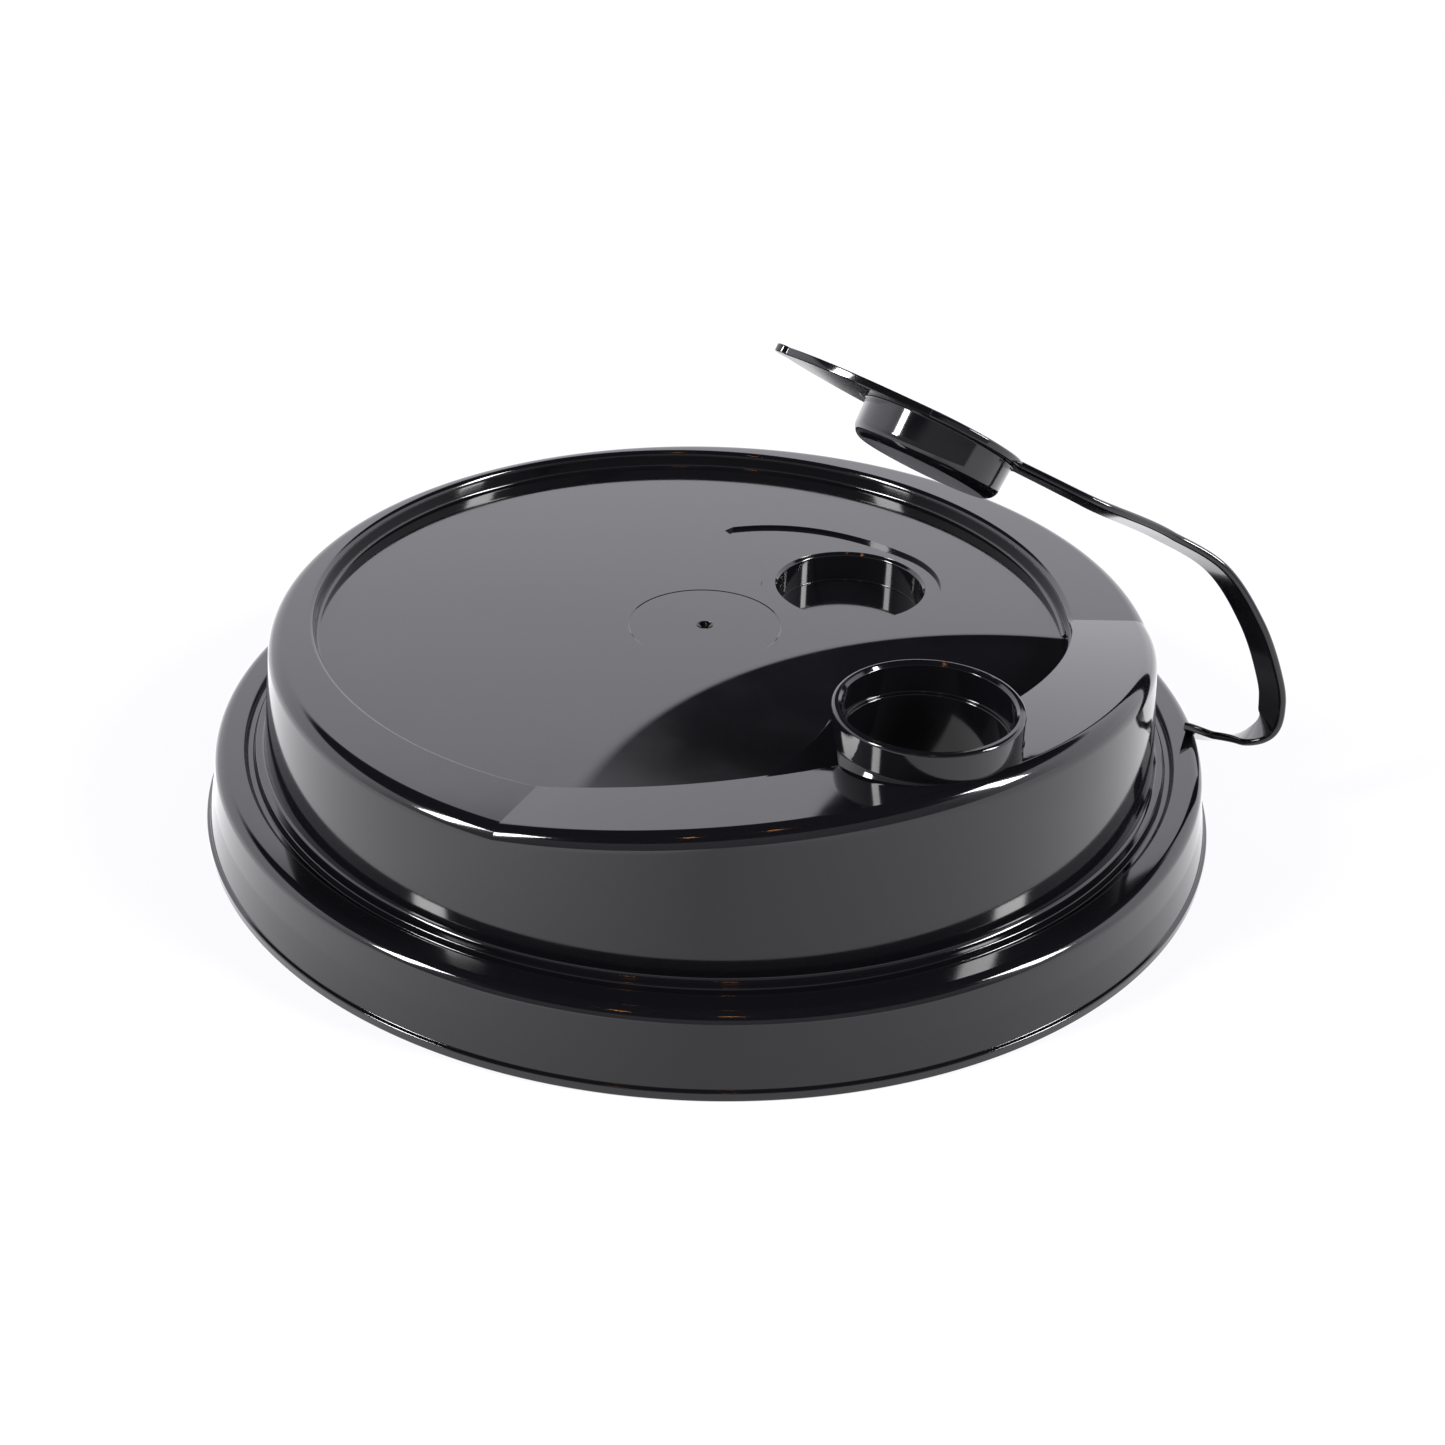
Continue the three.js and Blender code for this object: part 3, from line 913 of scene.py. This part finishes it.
# Studio: a white table with a painted side glow in reflections, a pale backdrop behind it, a dark
# room above and two tall soft lamps
studio = {
    "tableSize": 6.0,        # metres
    "tableGap": 0.00005,     # metres below the lid
    "tableColour": "#fafafa",
    "tableWhite": 0.85,      # how far the table is seen as plain white
    "airTint": "#f8f7ff",
    # colour of the table's glow: the plain white and the painted side glow
    "tableTint": "#fcfcff",
    "paintedSideGlow": (            # painted light: how much brighter the table glows at its left and right where the lid mirrors it
        (-0.05, 0.95),       # full from here on, metres from the lid's axis
        (0.06, 0.5),
    ),
    "backdropTop": 34.5,     # degrees above the horizon
    "backdropSoft": 0.02,    # softness of its top edge
    "backdropLow": 1.7,      # strength at the horizon
    "backdropHigh": 2.1,     # strength near its top edge
    "frontShare": 0.22,      # strength on the camera's side, as a share of the backdrop's
    "frontFrom": -0.5,       # the change runs between these two places on the way to the back
    "frontTo": 0.1,
    "roomGlow": 0.02,
    "lamps": (               # azimuth, elevation, distance, width and height in metres, watts
        ("left lamp", 202, 33, 1.2, 0.18, 0.5, 17, "#ffffff"),
        ("right lamp", -12, 33, 1.2, 0.18, 0.5, 17, "#ffffff"),
        ("warm lamp", -116, 62, 1.6, 0.06, 0.03, 0.3, "#ffa860"),
        ("second warm lamp", -80, 66, 1.6, 0.06, 0.03, 0.3, "#ffa860"),
    ),
}


def layTable():
    half = studio["tableSize"] / 2
    corners = [(x * half, y * half, 0) for x, y in ((-1, -1), (1, -1), (1, 1), (-1, 1))]
    table = meshObject("table", corners, [(0, 1, 2, 3)])
    table.location = axisPlace - Vector((0, 0, studio["tableGap"]))
    material = emptyMaterial("table, white laminate with painted side glow")
    tree = material.node_tree
    laminate = addNode(
        tree, "ShaderNodeBsdfDiffuse", {"Color": linearColour(studio["tableColour"])})
    # Painted light: in the lid's reflections the table glows, brighter towards its left and right
    place = addNode(tree, "ShaderNodeTexCoord")
    parts = addNode(tree, "ShaderNodeSeparateXYZ", None, {"Vector": place.outputs["Object"]})
    left, right = (
        addNode(
            tree, "ShaderNodeMapRange",
            {"From Min": 0.0, "From Max": full, "To Min": 0.0, "To Max": glow},
            {"Value": parts.outputs["X"]})
        for full, glow in studio["paintedSideGlow"])
    ray = addNode(tree, "ShaderNodeLightPath")
    sides = addNode(
        tree, "ShaderNodeMath", {"operation": "ADD"},
        {0: left.outputs["Result"], 1: right.outputs["Result"]})
    mirrored = addNode(
        tree, "ShaderNodeMath", {"operation": "MULTIPLY_ADD", 2: 1.0},
        {0: sides.outputs["Value"], 1: ray.outputs["Is Glossy Ray"]})
    white = addNode(
        tree, "ShaderNodeEmission", {"Color": linearColour(studio["tableTint"])},
        {"Strength": mirrored.outputs["Value"]})
    seen = addNode(
        tree, "ShaderNodeMath", {"operation": "ADD"},
        {0: ray.outputs["Is Camera Ray"], 1: ray.outputs["Is Glossy Ray"]})
    share = addNode(
        tree, "ShaderNodeMath", {"operation": "MULTIPLY", 1: studio["tableWhite"]},
        {0: seen.outputs["Value"]})
    top = addNode(
        tree, "ShaderNodeMixShader", None,
        {0: share.outputs["Value"], 1: laminate.outputs["BSDF"], 2: white.outputs["Emission"]})
    addNode(tree, "ShaderNodeOutputMaterial", None, {"Surface": top.outputs["Shader"]})
    table.data.materials.append(material)


def hangLamp(name, azimuth, elevation, distance, width, height, power, colour):
    data = bpy.data.lights.new(name, "AREA")
    data.shape = "RECTANGLE"
    data.size = width
    data.size_y = height
    data.energy = power
    data.color = linearColour(colour)[:3]
    lamp = bpy.data.objects.new(name, data)
    flat, up = polar(1, elevation)
    away = polar(flat, azimuth).to_3d() + Vector((0, 0, up))
    lamp.location = axisPlace + away * distance
    lamp.rotation_euler = (-away).to_track_quat("-Z", "Y").to_euler()
    bpy.context.scene.collection.objects.link(lamp)


def lightRoom():
    world = bpy.data.worlds.new("studio")
    world.use_nodes = True
    bpy.context.scene.world = world
    tree = world.node_tree
    tree.nodes.clear()
    place = addNode(tree, "ShaderNodeTexCoord")
    parts = addNode(tree, "ShaderNodeSeparateXYZ", None, {"Vector": place.outputs["Generated"]})
    top = math.sin(math.radians(studio["backdropTop"]))
    soft = studio["backdropSoft"]
    shade = addNode(
        tree, "ShaderNodeMapRange",
        {"From Min": 0.0, "From Max": top,
         "To Min": studio["backdropLow"], "To Max": studio["backdropHigh"]},
        {"Value": parts.outputs["Z"]})
    under = addNode(
        tree, "ShaderNodeMapRange",
        {"From Min": top - soft, "From Max": top + soft, "To Min": 1.0, "To Max": 0.0},
        {"Value": parts.outputs["Z"]})
    behind = addNode(
        tree, "ShaderNodeMapRange",
        {"From Min": studio["frontFrom"], "From Max": studio["frontTo"],
         "To Min": studio["frontShare"], "To Max": 1.0},
        {"Value": parts.outputs["Y"]})
    lit = addNode(
        tree, "ShaderNodeMath", {"operation": "MULTIPLY"},
        {0: shade.outputs["Result"], 1: under.outputs["Result"]})
    backdrop = addNode(
        tree, "ShaderNodeMath", {"operation": "MULTIPLY"},
        {0: lit.outputs["Value"], 1: behind.outputs["Result"]})
    strength = addNode(
        tree, "ShaderNodeMath", {"operation": "ADD", 1: studio["roomGlow"]},
        {0: backdrop.outputs["Value"]})
    room = addNode(
        tree, "ShaderNodeBackground", {"Color": linearColour(studio["airTint"])},
        {"Strength": strength.outputs["Value"]})
    white = addNode(tree, "ShaderNodeBackground", {"Color": (1, 1, 1, 1), "Strength": 1.0})
    ray = addNode(tree, "ShaderNodeLightPath")
    mixed = addNode(
        tree, "ShaderNodeMixShader", None,
        {0: ray.outputs["Is Camera Ray"],
         1: room.outputs["Background"],
         2: white.outputs["Background"]})
    addNode(tree, "ShaderNodeOutputWorld", None, {"Surface": mixed.outputs["Shader"]})


layTable()
lightRoom()
for lamp in studio["lamps"]:
    hangLamp(*lamp)
print("studio lit")

bpy.context.scene.view_settings.view_transform = "Standard"
